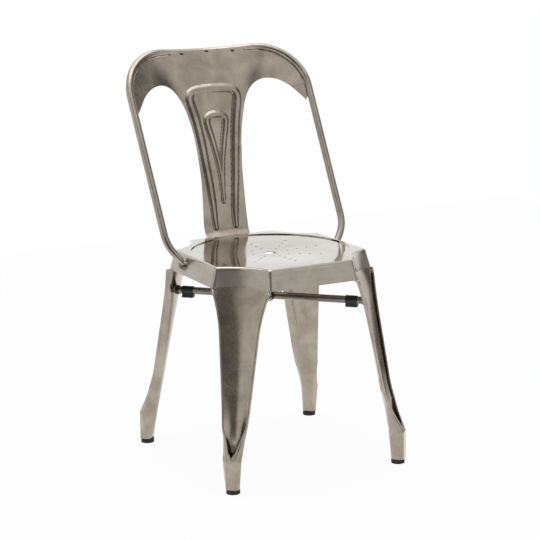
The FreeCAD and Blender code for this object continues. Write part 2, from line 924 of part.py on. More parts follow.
def panel_slab(front, thickness):
    """Sheet of the panel's shape, moved along Y and given a thickness."""
    low, high = panel_bottom - 6, panel_top_level + 12
    half = corner_half - 3
    fine, coarse, rows = 19, 8, 96
    rest = half - fine_half
    across = [fine_half * step / fine for step in range(fine + 1)]
    across += [fine_half + rest * (step + 1) / coarse for step in range(coarse)]
    across = [-x for x in reversed(across[1:])] + across
    levels = [low + (high - low) * row / (rows - 1) for row in range(rows)]
    grid = [[V(x, panel_depth(x, z) + front, z) for z in levels] for x in across]
    surface = Part.BSplineSurface()
    surface.interpolate(grid)
    return surface.toShape().extrude(V(0, thickness, 0))


def through_prism(wire):
    """Solid right through the panel from a closed outline in the XZ plane."""
    return Part.Face(wire).extrude(V(0, 400, 0))


def hoop_inner(angle, gap):
    """Panel edge beside the hoop's corner, a gap inside the tube."""
    reach = hoop_corner_radius - tube_radius - gap
    x = corner_half - hoop_corner_radius + reach * math.cos(angle)
    run = corner_run + reach * math.sin(angle)
    point = hoop_base(x, run) + plane_normal * hoop_bow_at(x)
    return V(point.x, 0, point.z)


def mirror_x(point):
    return V(-point.x, 0, point.z)


def mirrored(points):
    return [mirror_x(point) for point in reversed(points)]


def window_side():
    """Right edge of the splat and lower edge of the wing, from foot to wing tip."""
    foot_rise = panel_waist_level - panel_foot_top
    points = [V(panel_foot_half, 0, panel_foot_top)]
    points += [V(x, 0, panel_foot_top + share * foot_rise) for share, x in splat_low_edge]
    points.append(V(panel_waist_half, 0, panel_waist_level))
    wide = wing_tip_x - panel_waist_half
    high = window_top - panel_waist_level
    for across, up in window_edge:
        points.append(V(panel_waist_half + across * wide, 0, panel_waist_level + up * high))
    points.append(V(wing_tip_x, 0, wing_tip_level))
    return points


def wing_side():
    """Outer edge of the wing, from its tip to the overlap on the hoop's middle."""
    low = V(panel_edge_x, 0, wing_tip_level + wing_tip_height)
    points = [low, V(low.x + 0.15, 0, low.z + 10)]
    points += [hoop_inner(math.radians(a), panel_edge_gap) for a in (0, 18, 36, 54, 72, 88)]
    points.append(V(panel_overlap_half + 18, 0, panel_top_level - 5.6))
    points.append(V(panel_overlap_half, 0, panel_top_level - 0.4))
    points.append(V(panel_overlap_half - 22, 0, panel_top_level + 0.2))
    return points


def panel_outline():
    foot = V(panel_foot_half, 0, panel_bottom)
    inner, outer = window_side(), wing_side()
    edges = []
    for low, high in ((inner, outer), (mirrored(inner), mirrored(outer))):
        edges += [spline(low), spline(high)]
    edges += [line(foot, inner[0]), line(inner[-1], outer[0])]
    edges += [line(mirror_x(foot), mirror_x(inner[0])), line(mirror_x(inner[-1]), mirror_x(outer[0]))]
    edges += [line(outer[-1], mirror_x(outer[-1])), line(mirror_x(foot), foot)]
    return Part.Wire(Part.__sortEdges__(edges))


def make_back_panel():
    return through_prism(panel_outline()).common(panel_slab(0.0, panel_sheet))


def make_panel_tacks():
    """Weld tacks along the overlap of the panel on the hoop."""
    lumps = []
    for x in (-tack_spread, 0.0, tack_spread):
        spot = V(x, panel_depth(x, panel_top_level), panel_top_level)
        lump = Part.makeSphere(tack_radius, spot)
        corner = spot + V(-10, -weld_gap, weld_gap - 20)
        lump = lump.cut(Part.makeBox(20, 20, 20.6, corner))
        near, far = hoop_top(x - 12), hoop_top(x + 12)
        lump = lump.cut(rod(near, far, tube_radius + weld_gap))
        lumps.append(lump)
    return Part.makeCompound(lumps)


def front_extent():
    """How far forward the front legs reach, at the outer corner of a sock's facet."""
    levels = [leg_bottom + 2 * step for step in range(35)]
    sections = [leg_section(front_leg, level, 0.0) for level in levels]
    corner = Part.makeCompound([turned(section, -135) for section in sections])
    return -corner.optimalBoundingBox().YMin


def main():
    legs = {
        "front_left": (front_leg, -135),
        "front_right": (front_leg, -45),
        "rear_left": (rear_leg, 135),
        "rear_right": (rear_leg, 45),
    }
    channels = {leg: make_leg(leg) for leg in (front_leg, rear_leg)}
    parts = {
        "seat_pan": make_seat_pan(),
        "back_hoop": make_back_hoop(),
        "back_panel": make_back_panel(),
        "brace_long": make_brace_long(),
        "brace_half_front": make_brace_half(front_leg, -135),
        "brace_half_rear": make_brace_half(rear_leg, 45),
        "brace_leg_welds": make_brace_leg_welds(),
        "brace_cross_welds": make_brace_cross_welds(),
        "hoop_bolts": each_side(hoop_bolt),
        "hoop_washers": each_side(hoop_washer),
        "hoop_nuts": each_side(hoop_nut),
        "panel_tacks": make_panel_tacks(),
    }
    for corner, (leg, angle) in legs.items():
        parts["leg_" + corner] = turned(channels[leg], angle)
        parts["foot_" + corner] = turned(make_foot(leg), angle)
        inset = bumper_front_inset if leg is front_leg else bumper_rear_inset
        parts["bumper_" + corner] = make_bumper(leg.back(brace_level) - inset, angle)

    front = -front_extent()
    rear = hoop_top(0.0).y + tube_radius
    middle = (front + rear) / 2
    os.makedirs("parts", exist_ok=True)
    for name, shape in parts.items():
        shape.translate(V(0, -middle, 0))
        shape.exportStep("parts/" + name + ".step")


if __name__ == "__main__":
    main()
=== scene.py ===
# %% [markdown]
# # A steel bistro chair, dressed in Blender
#
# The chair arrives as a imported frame: one mesh for each pressed sheet, tube,
# foot and fastener, already in its place. This lesson gives those pieces the
# look of raw steel under clear lacquer, lights them as in a white studio, and
# adds the small forms that a drawing in sheet and tube leaves out.

import math

import bmesh
import bpy
import numpy as np
from mathutils import Matrix, Vector
from mathutils.geometry import delaunay_2d_cdt


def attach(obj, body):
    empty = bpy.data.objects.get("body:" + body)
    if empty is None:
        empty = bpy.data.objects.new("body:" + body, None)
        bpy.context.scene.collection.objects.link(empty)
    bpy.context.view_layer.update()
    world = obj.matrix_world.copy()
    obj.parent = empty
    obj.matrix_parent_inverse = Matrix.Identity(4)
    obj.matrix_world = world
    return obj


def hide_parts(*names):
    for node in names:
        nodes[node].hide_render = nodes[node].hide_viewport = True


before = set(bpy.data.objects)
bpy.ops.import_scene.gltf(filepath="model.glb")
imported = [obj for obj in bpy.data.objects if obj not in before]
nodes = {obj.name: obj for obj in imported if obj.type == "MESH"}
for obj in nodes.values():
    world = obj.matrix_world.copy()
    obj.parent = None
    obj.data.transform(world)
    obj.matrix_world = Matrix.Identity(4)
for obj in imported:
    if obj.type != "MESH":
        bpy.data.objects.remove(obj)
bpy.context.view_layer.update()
print("nodes in the frame:", len(nodes))

# %% [markdown]
# ## The camera
#
# The photograph was taken from the chair's front left, a little above the
# seat, with a long lens. The camera's place was worked out from the seat's
# ring of drain holes and the hoop, so it is given as a position and three
# angles. Azimuth turns it round the chair, pitch looks down, roll tilts it.

# %% Camera
CAMERA_AT = Vector((-1.83289, -3.50295, 1.27937))
CAMERA_AZIMUTH = math.radians(-27.9072)
CAMERA_PITCH = math.radians(12.6298)
CAMERA_ROLL = math.radians(-0.7264)
CAMERA_LENS = 126.43
SENSOR = 36.0


def camera_axes(azimuth, pitch, roll):
    """Right, up and back of a camera from its three angles."""
    right = Vector((math.cos(azimuth), math.sin(azimuth), 0))
    back = Vector((
        math.sin(azimuth) * math.cos(pitch),
        -math.cos(azimuth) * math.cos(pitch),
        math.sin(pitch),
    ))
    up = back.cross(right)
    rolled_right = right * math.cos(roll) + up * math.sin(roll)
    rolled_up = up * math.cos(roll) - right * math.sin(roll)
    return rolled_right, rolled_up, back


lens = bpy.data.cameras.new("camera")
lens.lens = CAMERA_LENS
lens.sensor_width = SENSOR
camera = bpy.data.objects.new("camera", lens)
bpy.context.scene.collection.objects.link(camera)
turn = Matrix(camera_axes(CAMERA_AZIMUTH, CAMERA_PITCH, CAMERA_ROLL)).transposed()
camera.matrix_world = Matrix.Translation(CAMERA_AT) @ turn.to_4x4()
bpy.context.scene.camera = camera
bpy.context.scene.view_settings.view_transform = "Standard"
print("camera", round(CAMERA_AT.length, 2), "m from the origin")

# %% [markdown]
# ## Small helpers for colours and nodes
#
# Colours are written as the hex values that a paint chart would give, and
# turned to the linear values that a shader needs. One function adds a node,
# sets it up and links it, so that each material below reads as a short list.
# The others make the nodes that several materials share.

# %% Helpers for colours and nodes
SRGB_KNEE, SRGB_SLOPE, SRGB_OFFSET, SRGB_POWER = 0.04045, 12.92, 0.055, 2.4


def linear(code):
    """Linear colour from an sRGB hex code."""
    channels = [int(code[i:i + 2], 16) / 255 for i in (1, 3, 5)]
    curve = [
        c / SRGB_SLOPE if c <= SRGB_KNEE else ((c + SRGB_OFFSET) / (1 + SRGB_OFFSET)) ** SRGB_POWER
        for c in channels
    ]
    return (*curve, 1.0)


def add(tree, kind, inputs=None, **settings):
    """Adds a node. An input is a plain value, or a socket to link from."""
    made = tree.nodes.new(kind)
    for name, value in settings.items():
        setattr(made, name, value)
    for name, value in (inputs or {}).items():
        if isinstance(value, bpy.types.NodeSocket):
            tree.links.new(value, made.inputs[name])
        else:
            made.inputs[name].default_value = value
    return made


def blend(tree, share, dark, light):
    """Colour between two hex codes, by a share from 0 to 1."""
    return add(tree, "ShaderNodeMix", {
        0: share, 6: linear(dark), 7: linear(light),
    }, data_type="RGBA").outputs[2]


def spread(tree, value, low, high, to_low=0.0, to_high=1.0):
    """A value rescaled from one range to another."""
    return add(tree, "ShaderNodeMapRange", {
        "Value": value, "From Min": low, "From Max": high, "To Min": to_low, "To Max": to_high,
    }).outputs["Result"]


def calculate(tree, operation, first, second):
    """What one operation, such as MAXIMUM or MULTIPLY, makes of two values."""
    return add(tree, "ShaderNodeMath", {0: first, 1: second}, operation=operation).outputs[0]


def kinds_of_ray(tree):
    """1 for a camera ray, and 1 for a ray from a mirror or through glass."""
    path = add(tree, "ShaderNodeLightPath")
    clear = calculate(
        tree, "MAXIMUM", path.outputs["Is Glossy Ray"], path.outputs["Is Transmission Ray"])
    return path.outputs["Is Camera Ray"], clear


def new_material(name):
    """An empty node material with its shader and output joined."""
    material = bpy.data.materials.new(name)
    material.use_nodes = True
    tree = material.node_tree
    tree.nodes.clear()
    shader = add(tree, "ShaderNodeBsdfPrincipled")
    output = add(tree, "ShaderNodeOutputMaterial")
    tree.links.new(shader.outputs["BSDF"], output.inputs["Surface"])
    return material, tree, shader


print("helpers ready: mid grey is", round(linear("#808080")[0], 3))

# %% [markdown]
# ## The studio
#
# Polished metal has little colour of its own to show. What it shows is the
# room round it, so the room matters as much as the steel. The chair stood on
# white paper before a white backdrop, between soft boxes, with the unlit
# part of the studio on the camera's side. A world whose brightness depends
# on direction says all this with no geometry: white behind and overhead, one
# bright box in front to the right, one on the left, and dim everywhere else.
# Each light region has a direction, the two cosines between which it fades
# in, and a level.

# %% World
BACKDROP = (Vector((0.468, 0.884, 0.0)), 0.30, 0.75, 1.0)
OVERHEAD = (Vector((0, 0, 1)), 0.45, 0.80, 1.0)
FRONT_BOX = (Vector((0.46, -0.86, 0.22)).normalized(), 0.70, 0.97, 0.82)
LEFT_BOX = (Vector((-0.93, 0.25, 0.25)).normalized(), 0.55, 0.85, 0.8)
ROOM_LEVEL = 0.16

world = bpy.data.worlds.new("studio")
world.use_nodes = True
bpy.context.scene.world = world
tree = world.node_tree
tree.nodes.clear()
way = add(tree, "ShaderNodeTexCoord").outputs["Generated"]


def lobe(direction, low, high, level):
    """Brightness of one light region: level near a direction, 0 away from it."""
    near = add(tree, "ShaderNodeVectorMath", {0: way, 1: direction}, operation="DOT_PRODUCT")
    return add(tree, "ShaderNodeMapRange", {
        "Value": near.outputs["Value"], "From Min": low, "From Max": high, "To Max": level,
    }, interpolation_type="SMOOTHSTEP").outputs["Result"]


regions = [lobe(*region) for region in (BACKDROP, OVERHEAD, FRONT_BOX, LEFT_BOX)]
lit = ROOM_LEVEL
for region in regions:
    lit = calculate(tree, "MAXIMUM", region, lit)

# The camera sees plain white. Reflections and glass see the white backdrop
# where it hangs, behind the chair, and the rest of the room elsewhere.
from_camera, clear = kinds_of_ray(tree)
shown = calculate(tree, "MULTIPLY", clear, regions[0])
white = calculate(tree, "MAXIMUM", from_camera, shown)
level = add(tree, "ShaderNodeMix", {0: white, 2: lit, 3: 1.0}, data_type="FLOAT").outputs[0]
sky = add(tree, "ShaderNodeBackground", {"Color": (1, 1, 1, 1), "Strength": level})
add(tree, "ShaderNodeOutputWorld", {"Surface": sky.outputs["Background"]})
print("studio world with", len(regions), "light regions over a level of", ROOM_LEVEL)

# %% [markdown]
# ## The paper floor
#
# A sheet of white paper carries the chair's soft shadow. The camera should
# see it as white as the backdrop, and so should the steel that mirrors it.
# For those rays most of its colour is plain white, and the rest is the lit
# paper with the shadow on it.

# %% Floor
FLOOR_HALF = 2.2
PLAIN_WHITE_SHARE = 0.93
floor_mesh = bpy.data.meshes.new("floor")
corners = [(-1, -1), (1, -1), (1, 1), (-1, 1)]
floor_corners = [(x * FLOOR_HALF, y * FLOOR_HALF, 0) for x, y in corners]
floor_mesh.from_pydata(floor_corners, [], [(0, 1, 2, 3)])
floor = bpy.data.objects.new("floor", floor_mesh)
bpy.context.scene.collection.objects.link(floor)

paper, tree, shader = new_material("white_paper")
shader.inputs["Base Color"].default_value = linear("#f2f1ef")
shader.inputs["Roughness"].default_value = 0.9
glow = add(tree, "ShaderNodeEmission", {"Color": (1, 1, 1, 1), "Strength": 1.0})
from_camera, clear = kinds_of_ray(tree)
seen = calculate(tree, "MAXIMUM", from_camera, clear)
share = calculate(tree, "MULTIPLY", seen, PLAIN_WHITE_SHARE)
mixed = add(tree, "ShaderNodeMixShader", {
    0: share, 1: shader.outputs["BSDF"], 2: glow.outputs["Emission"],
})
tree.links.new(mixed.outputs[0], tree.nodes["Material Output"].inputs["Surface"])
floor_mesh.materials.append(paper)
print("paper floor", 2 * FLOOR_HALF, "m wide")

# %% [markdown]
# One large soft box hangs over the chair. It gives the shadow on the paper
# and the soft light on the seat. The other boxes only show as reflections,
# so the world stands for them.

# %% Soft box
BOX_AT, BOX_AIM = Vector((0.0, 0.3, 3.0)), Vector((0, 0, 0.3))
BOX_WIDE = 2.2
BOX_WATTS = 22
box_light = bpy.data.lights.new("overhead", "AREA")
box_light.shape = "SQUARE"
box_light.size = BOX_WIDE
box_light.energy = BOX_WATTS
lamp = bpy.data.objects.new("overhead", box_light)
bpy.context.scene.collection.objects.link(lamp)
lamp.location = BOX_AT
lamp.rotation_euler = (BOX_AIM - BOX_AT).to_track_quat("-Z", "Y").to_euler()

# %% [markdown]
# ## Raw steel under clear lacquer
#
# The sheets and tubes are cold-rolled steel. They are linished with a belt,
# which leaves fine straight lines, and lacquered clear, which adds a sharp
# second reflection and a warm cast. Steel is a metal, so it is metallic 1
# with its own grey as base colour. Belt lines are about 0.3 mm apart, too
# fine to show at this distance, so they are drawn 1.5 mm apart. Pressing
# and rolling leave the sheet slightly wavy over some 60 mm, which bends the
# reflections a little: a low bump gives that.

# %% Steel
BELT_LINE = 0.0015
BELT_STROKE = 0.08
SHEET_WAVE = 0.06
CLOUD_RANGE = (0.36, 0.66)
LINE_RANGE = (0.3, 0.7)
LINE_SHADE = (0.90, 1.06)
LINE_STRENGTH, LINE_DEPTH = 0.35, 0.00003
LACQUER_ROUGHNESS = 0.06


def lacquered_steel(name, grain, light, dark, rough_low, rough_high, wave=0.0006):
    """Steel with belt lines along an axis of the chair: 0, 1 or 2."""
    material, tree, shader = new_material(name)
    place = add(tree, "ShaderNodeTexCoord").outputs["Object"]
    spacing = [1 / BELT_LINE] * 3
    spacing[grain] = 1 / BELT_STROKE
    stretched = add(tree, "ShaderNodeMapping", {"Vector": place, "Scale": spacing}).outputs[0]
    lines = add(tree, "ShaderNodeTexNoise", {
        "Vector": stretched, "Scale": 1.0, "Detail": 2.0, "Roughness": 0.6,
    }).outputs["Fac"]
    cloud = add(tree, "ShaderNodeTexNoise", {
        "Vector": place, "Scale": 1 / SHEET_WAVE,
        "Detail": 5.0, "Roughness": 0.62, "Distortion": 0.7,
    }).outputs["Fac"]
    swell = add(tree, "ShaderNodeTexNoise", {
        "Vector": place, "Scale": 1 / SHEET_WAVE, "Detail": 1.0,
    }).outputs["Fac"]
    tint = blend(tree, spread(tree, cloud, *CLOUD_RANGE), dark, light)
    brushed = spread(tree, lines, *LINE_RANGE, *LINE_SHADE)
    colour = add(tree, "ShaderNodeVectorMath", {
        0: tint, "Scale": brushed,
    }, operation="SCALE").outputs[0]
    gloss = spread(tree, lines, *LINE_RANGE, rough_low, rough_high)
    waves = add(tree, "ShaderNodeBump", {
        "Strength": 1.0, "Distance": wave, "Height": swell,
    }).outputs[0]
    scratches = add(tree, "ShaderNodeBump", {
        "Strength": LINE_STRENGTH, "Distance": LINE_DEPTH, "Height": lines, "Normal": waves,
    }).outputs[0]
    tree.links.new(colour, shader.inputs["Base Color"])
    tree.links.new(gloss, shader.inputs["Roughness"])
    tree.links.new(scratches, shader.inputs["Normal"])
    tree.links.new(waves, shader.inputs["Coat Normal"])
    shader.inputs["Metallic"].default_value = 1.0
    shader.inputs["Coat Weight"].default_value = 1.0
    shader.inputs["Coat Roughness"].default_value = LACQUER_ROUGHNESS
    return material


UPRIGHT, ACROSS = 2, 0
sheet_steel = lacquered_steel(
    "clear_lacquered_steel", UPRIGHT, "#b3a898", "#968a7b", 0.16, 0.30)
seat_steel = lacquered_steel(
    "clear_lacquered_steel_seat", ACROSS, "#b9b0a4", "#a39a8c", 0.08, 0.16, wave=0.0001)
tube_steel = lacquered_steel(
    "clear_lacquered_steel_tube", UPRIGHT, "#b7ac9d", "#9c9082", 0.12, 0.22, wave=0.0)
brace_steel = lacquered_steel(
    "clear_lacquered_steel_brace", UPRIGHT, "#8b8177", "#6b635a", 0.14, 0.24, wave=0.0)

# The deck is flat and bright. The skirt is drawn down over the die, which
# dulls it, so the roughness grows below the rim.
RIM_TOP, RIM_FOOT, SKIRT_DULLER = 0.444, 0.438, 0.2
tree = seat_steel.node_tree
shader = tree.nodes["Principled BSDF"]
gloss = shader.inputs["Roughness"].links[0].from_socket
place = add(tree, "ShaderNodeTexCoord").outputs["Object"]
height = add(tree, "ShaderNodeSeparateXYZ", {0: place}).outputs["Z"]
drawn = spread(tree, height, RIM_TOP, RIM_FOOT, 0.0, SKIRT_DULLER)
tree.links.new(calculate(tree, "ADD", gloss, drawn), shader.inputs["Roughness"])
print("steel: four lacquered finishes")

# %% [markdown]
# ## Welds and plated fasteners
#
# The welds are ground or left as laid and lacquered over, so they are
# rougher and browner than the sheet. The bolts are zinc plated, and their
# zinc is painted darker than plating is, as painted shade for the shadow
# ring round each bolt head.

# %% Welds and fasteners


def grained(name, light, dark, rough, grain, detail, strength, depth):
    """A material with a fine uneven surface. Grain and depth are in metres."""
    material, tree, shader = new_material(name)
    place = add(tree, "ShaderNodeTexCoord").outputs["Object"]
    grit = add(tree, "ShaderNodeTexNoise", {
        "Vector": place, "Scale": 1 / grain, "Detail": detail,
    }).outputs["Fac"]
    bump = add(tree, "ShaderNodeBump", {
        "Strength": strength, "Distance": depth, "Height": grit,
    }).outputs[0]
    tree.links.new(blend(tree, grit, dark, light), shader.inputs["Base Color"])
    tree.links.new(bump, shader.inputs["Normal"])
    shader.inputs["Roughness"].default_value = rough
    return material, shader


def small_metal(name, light, dark, rough, ripple, depth):
    """Metal with a fine uneven surface."""
    material, shader = grained(name, light, dark, rough, ripple, 3.0, 0.8, depth)
    shader.inputs["Metallic"].default_value = 1.0
    return material


weld_metal = small_metal("weld_under_lacquer", "#6b5d50", "#352c26", 0.38, 0.0012, 0.0004)
# The zinc's colours are painted dark: painted shade for the shadow round the bolt heads.
zinc_painted_shade = small_metal("zinc_plated_steel_painted_shade", "#8f897f", "#5d574f", 0.3, 0.002, 0.00005)
print("weld and zinc made")

# %% [markdown]
# ## Rubber and plastic
#
# The feet are moulded black rubber, matt and faintly grained. The stacking
# clips are injection-moulded polyethylene, with a soft satin shine.

# %% Rubber and plastic
RUBBER_IOR, POLYETHYLENE_IOR = 1.52, 1.51
MOULD_DEPTH = 0.00012


def moulded(name, light, dark, rough, ior, grain):
    """Rubber or plastic with the fine grain of its mould."""
    material, shader = grained(name, light, dark, rough, grain, 4.0, 0.5, MOULD_DEPTH)
    shader.inputs["IOR"].default_value = ior
    return material


rubber = moulded("moulded_black_rubber", "#2c2927", "#1a1817", 0.72, RUBBER_IOR, 0.0012)
plastic = moulded(
    "moulded_black_polyethylene", "#2b2a2a", "#1d1c1c", 0.42, POLYETHYLENE_IOR, 0.0008)
print("rubber and plastic made")

# %% [markdown]
# ## The back panel, pressed anew
#
# The panel is one sheet: a splat with two raised U-shaped ribs, and two
# wings that lie inside the hoop. Its ribs catch the light more than anything
# else on the chair, and they need a finer mesh than a frame carries. So the
# flat outline is filled with a fine grid of points, and each point is pushed
# back to the depth that the press gave it. The ribs are round on top and
# meet the sheet at a crease, as a pressed rib does. From here on, sizes are
# in millimetres, and points are scaled to metres as they go into a mesh.

# %% The hoop that the panel lies in
MM = 0.001
MIDDLE_Y = 44.914
HOOP_HALF, HOOP_WIDENING = 212.6, 0.010
HOOP_LEVEL, HOOP_Y = 500.0, 77.3
HOOP_RUN, HOOP_CORNER, HOOP_BOW = 401.5, 108.2, 32.7
TUBE_RADIUS = 8.0
RECLINE = math.radians(28.2)
RUN_Y, RUN_Z = math.sin(RECLINE), math.cos(RECLINE)
CORNER_RUN = HOOP_RUN - HOOP_CORNER
CORNER_HALF = HOOP_HALF + HOOP_WIDENING * CORNER_RUN


def bow_at(x):
    """How far the hoop's top bows back at x."""
    return HOOP_BOW * (1 - (x / CORNER_HALF) ** 2)


def hoop_point(x, run):
    """Point of the bowed hoop plane, a run up its slope."""
    bow = bow_at(x)
    return Vector((x, HOOP_Y + run * RUN_Y + bow * RUN_Z, HOOP_LEVEL + run * RUN_Z - bow * RUN_Y))


def hoop_inside(angle, gap):
    """Point beside the hoop's upper corner, a gap inside the tube."""
    reach = HOOP_CORNER - TUBE_RADIUS - gap
    x = CORNER_HALF - HOOP_CORNER + reach * math.cos(angle)
    return hoop_point(x, CORNER_RUN + reach * math.sin(angle))


PANEL_RISE = 0.6
PANEL_TOP = hoop_point(0.0, HOOP_RUN).z + PANEL_RISE
print("panel top at", round(PANEL_TOP), "mm")

# %% [markdown]
# The depth of the sheet has three parts. The splat follows a curved profile
# and is slightly cupped across. The wings follow the hoop. The ribs stand
# forward of both, with a rib's points given as distance from the middle,
# level and width.

# %% Depth of the pressed sheet
SHEET = 1.2
RIB_HEIGHT = 5.0
RIB_SKIRT = 2.5
RIB_ROUNDNESS = 1.2
CUP, CUP_LOST_ABOVE = 0.0012, 0.0006
SPLAT_STEPS, RIB_STEPS = 12, 6
SPLAT_PROFILE = [
    (408.0, 191.5), (416.0, 189.4), (424.0, 187.2), (432.0, 185.1), (443.0, 192.8), (452.0, 202.0),
    (464.0, 208.0), (482.0, 212.2), (520.0, 216.8), (566.0, 223.4), (608.0, 231.4), (650.0, 239.4),
    (700.0, 250.4), (745.0, 263.0), (790.0, 275.2), (839.0, 286.3), (859.0, 290.8),
]
OUTER_RIB = [
    (24.5, 462.0, 9.0), (26.5, 505.0, 13.0), (31.0, 555.0, 14.5), (36.8, 610.0, 15.5),
    (42.5, 660.0, 16.5), (48.8, 700.0, 17.0), (54.5, 724.0, 17.0), (57.5, 741.0, 16.5),
    (52.0, 753.0, 16.0), (36.0, 758.6, 15.0), (0.0, 760.5, 15.0),
]
INNER_RIB = [
    (0.5, 515.0, 4.0), (1.5, 560.0, 7.0), (5.0, 600.0, 9.0), (13.0, 645.0, 11.0),
    (21.0, 680.0, 12.0), (22.0, 695.0, 12.0), (13.0, 703.5, 11.0), (0.0, 705.5, 11.0),
]


def smooth(value):
    """A soft step from 0 to 1."""
    value = max(0.0, min(1.0, value))
    return value * value * (3 - 2 * value)


def smooth_each(values):
    """The same soft step, for an array."""
    values = np.clip(values, 0.0, 1.0)
    return values * values * (3 - 2 * values)


def through(points, steps):
    """Smooth curve through points, with some steps between each two."""
    ends = [2 * points[0] - points[1], *points, 2 * points[-1] - points[-2]]
    curve = []
    for before, a, b, after in zip(ends, ends[1:], ends[2:], ends[3:]):
        for step in range(steps):
            t = step / steps
            curve.append(0.5 * (
                2 * a + (b - before) * t + (2 * before - 5 * a + 4 * b - after) * t * t
                + (3 * a - before - 3 * b + after) * t ** 3
            ))
    return [*curve, points[-1]]


def curve_table(points, steps):
    """The smooth curve through rows of numbers, as an array."""
    return np.array([tuple(p) for p in through([Vector(p) for p in points], steps)])


PROFILE = curve_table(SPLAT_PROFILE, SPLAT_STEPS)
RIBS = [curve_table(rib, RIB_STEPS) for rib in (OUTER_RIB, INNER_RIB)]


def rib_lift(x, level):
    """How far the nearer rib stands forward, for arrays of points."""
    lift = np.zeros_like(x)
    for rib in RIBS:
        for a, b in zip(rib, rib[1:]):
            run = b[:2] - a[:2]
            share = ((x - a[0]) * run[0] + (level - a[1]) * run[1]) / run.dot(run)
            share = np.clip(share, 0.0, 1.0)
            gap = np.hypot(x - a[0] - share * run[0], level - a[1] - share * run[1])
            half = (a[2] + share * (b[2] - a[2])) / 2 + RIB_SKIRT
            gap = np.clip(gap / half, 0.0, 1.0)
            lift = np.maximum(lift, np.cos(math.pi / 2 * gap ** RIB_ROUNDNESS))
    return RIB_HEIGHT * lift


def sheet_depth(x, level):
    """Depth of the sheet's front face, for arrays of points."""
    cup = CUP - CUP_LOST_ABOVE * smooth_each((level - 700) / 100)
    cup = cup * smooth_each((level - 438) / 40)
    splat = np.interp(level, PROFILE[:, 0], PROFILE[:, 1]) - cup * x * x
    wing = HOOP_Y + (level - HOOP_LEVEL) * RUN_Y / RUN_Z + bow_at(x) / RUN_Z
    share = smooth_each((abs(x) - 80) / 70)
    return splat * (1 - share) + wing * share - rib_lift(abs(x), level)


print("rib stands", RIB_HEIGHT, "mm proud of the sheet")

# %% [markdown]
# The outline is a smooth curve round the splat and wings. It is filled by a
# constrained triangulation, which keeps every outline point and puts the
# grid points inside, close together only where the ribs need them.

# %% Outline and fill
EDGE_GAP = 1.1
FINE, COARSE = 1.5, 4.0
FINE_HALF, FINE_LOW, FINE_HIGH = 74.0, 456.0, 774.0
COARSE_HALF, COARSE_LOW = 206.0, 418.0
OVERLAP_HALF = 84.0
FOOT_HALF, FOOT_LEVELS = 52.6, (416.0, 428.0)
WING_TIP_LEVEL = 727.0
SPLAT_EDGE = [
    (52.6, 440.0), (53.4, 466.0), (52.2, 500.0), (50.8, 566.0), (53.2, 614.0), (57.2, 657.0),
    (65.1, 696.0), (76.5, 732.0), (94.0, 760.0), (115.0, 773.5), (136.0, 776.0), (156.0, 770.8),
    (176.0, 757.8), (192.0, 740.5), (203.6, 727.0),
]
tip_run = (WING_TIP_LEVEL - HOOP_LEVEL) / RUN_Z
edge_x = HOOP_HALF + HOOP_WIDENING * tip_run - TUBE_RADIUS - EDGE_GAP
wing_points = [
    Vector((edge_x, WING_TIP_LEVEL + 6.0)), Vector((edge_x + 0.15, WING_TIP_LEVEL + 16.0)),
]
for degrees in (0, 15, 30, 45, 60, 72):
    spot = hoop_inside(math.radians(degrees), EDGE_GAP)
    wing_points.append(Vector((spot.x, spot.z)))
wing_points += [
    Vector((OVERLAP_HALF, PANEL_TOP - 2.6)), Vector((OVERLAP_HALF - 24, PANEL_TOP - 0.6)),
    Vector((20.0, PANEL_TOP)), Vector((0.0, PANEL_TOP)),
]
splat_side = through([Vector(p) for p in SPLAT_EDGE], 10)
wing_side = through(wing_points, 8)
right = [*(Vector((FOOT_HALF, level)) for level in FOOT_LEVELS), *splat_side, *wing_side]
left = [Vector((-p.x, p.y)) for p in reversed(right[:-1])]
outline = np.array([tuple(p) for p in right + left])
print("panel outline:", len(outline), "points")


def grid_points(step, half, low, high):
    """Points of a square grid that lie inside the outline, off its edge."""
    x, level = np.meshgrid(np.arange(-half, half + step, step), np.arange(low, high, step))
    x, level = x.ravel(), level.ravel()
    a, b = outline, np.roll(outline, -1, axis=0)
    crossings = np.zeros(len(x), dtype=int)
    nearest = np.full(len(x), 1e9)
    for (ax, az), (bx, bz) in zip(a, b):
        nearest = np.minimum(nearest, np.hypot(x - ax, level - az))
        if az != bz:
            beyond = x < ax + (level - az) * (bx - ax) / (bz - az)
            crossings += ((az > level) != (bz > level)) & beyond
    keep = (crossings % 2 == 1) & (nearest > 0.45 * step)
    return np.column_stack([x[keep], level[keep]])


fine = grid_points(FINE, FINE_HALF, FINE_LOW, FINE_HIGH)
coarse = grid_points(COARSE, COARSE_HALF, COARSE_LOW, PANEL_TOP - 2)
ribbed = (abs(coarse[:, 0]) < FINE_HALF + 2) & (abs(
    coarse[:, 1] - (FINE_LOW + FINE_HIGH) / 2) < (FINE_HIGH - FINE_LOW) / 2 + 2)
fill = [Vector(p) for p in np.vstack([outline, fine, coarse[~ribbed]])]
rim = [(i, (i + 1) % len(outline)) for i in range(len(outline))]
points, _, faces, *_ = delaunay_2d_cdt(fill, rim, [], 1, 0.001)
print("panel grid:", len(points), "points,", len(faces), "triangles")

# %% [markdown]
# Every point gets its depth, and its normal from the slope of the sheet
# there. The back face is the front one moved by the thickness of the sheet,
# and a strip of quads round the open edge closes the shell.

# %% The panel's mesh
SLOPE_STEP = 0.4


def slope(dx, dz):
    """Slope of the sheet at every point, along a short step either way."""
    ahead, behind = sheet_depth(x + dx, level + dz), sheet_depth(x - dx, level - dz)
    return (ahead - behind) / (2 * SLOPE_STEP)


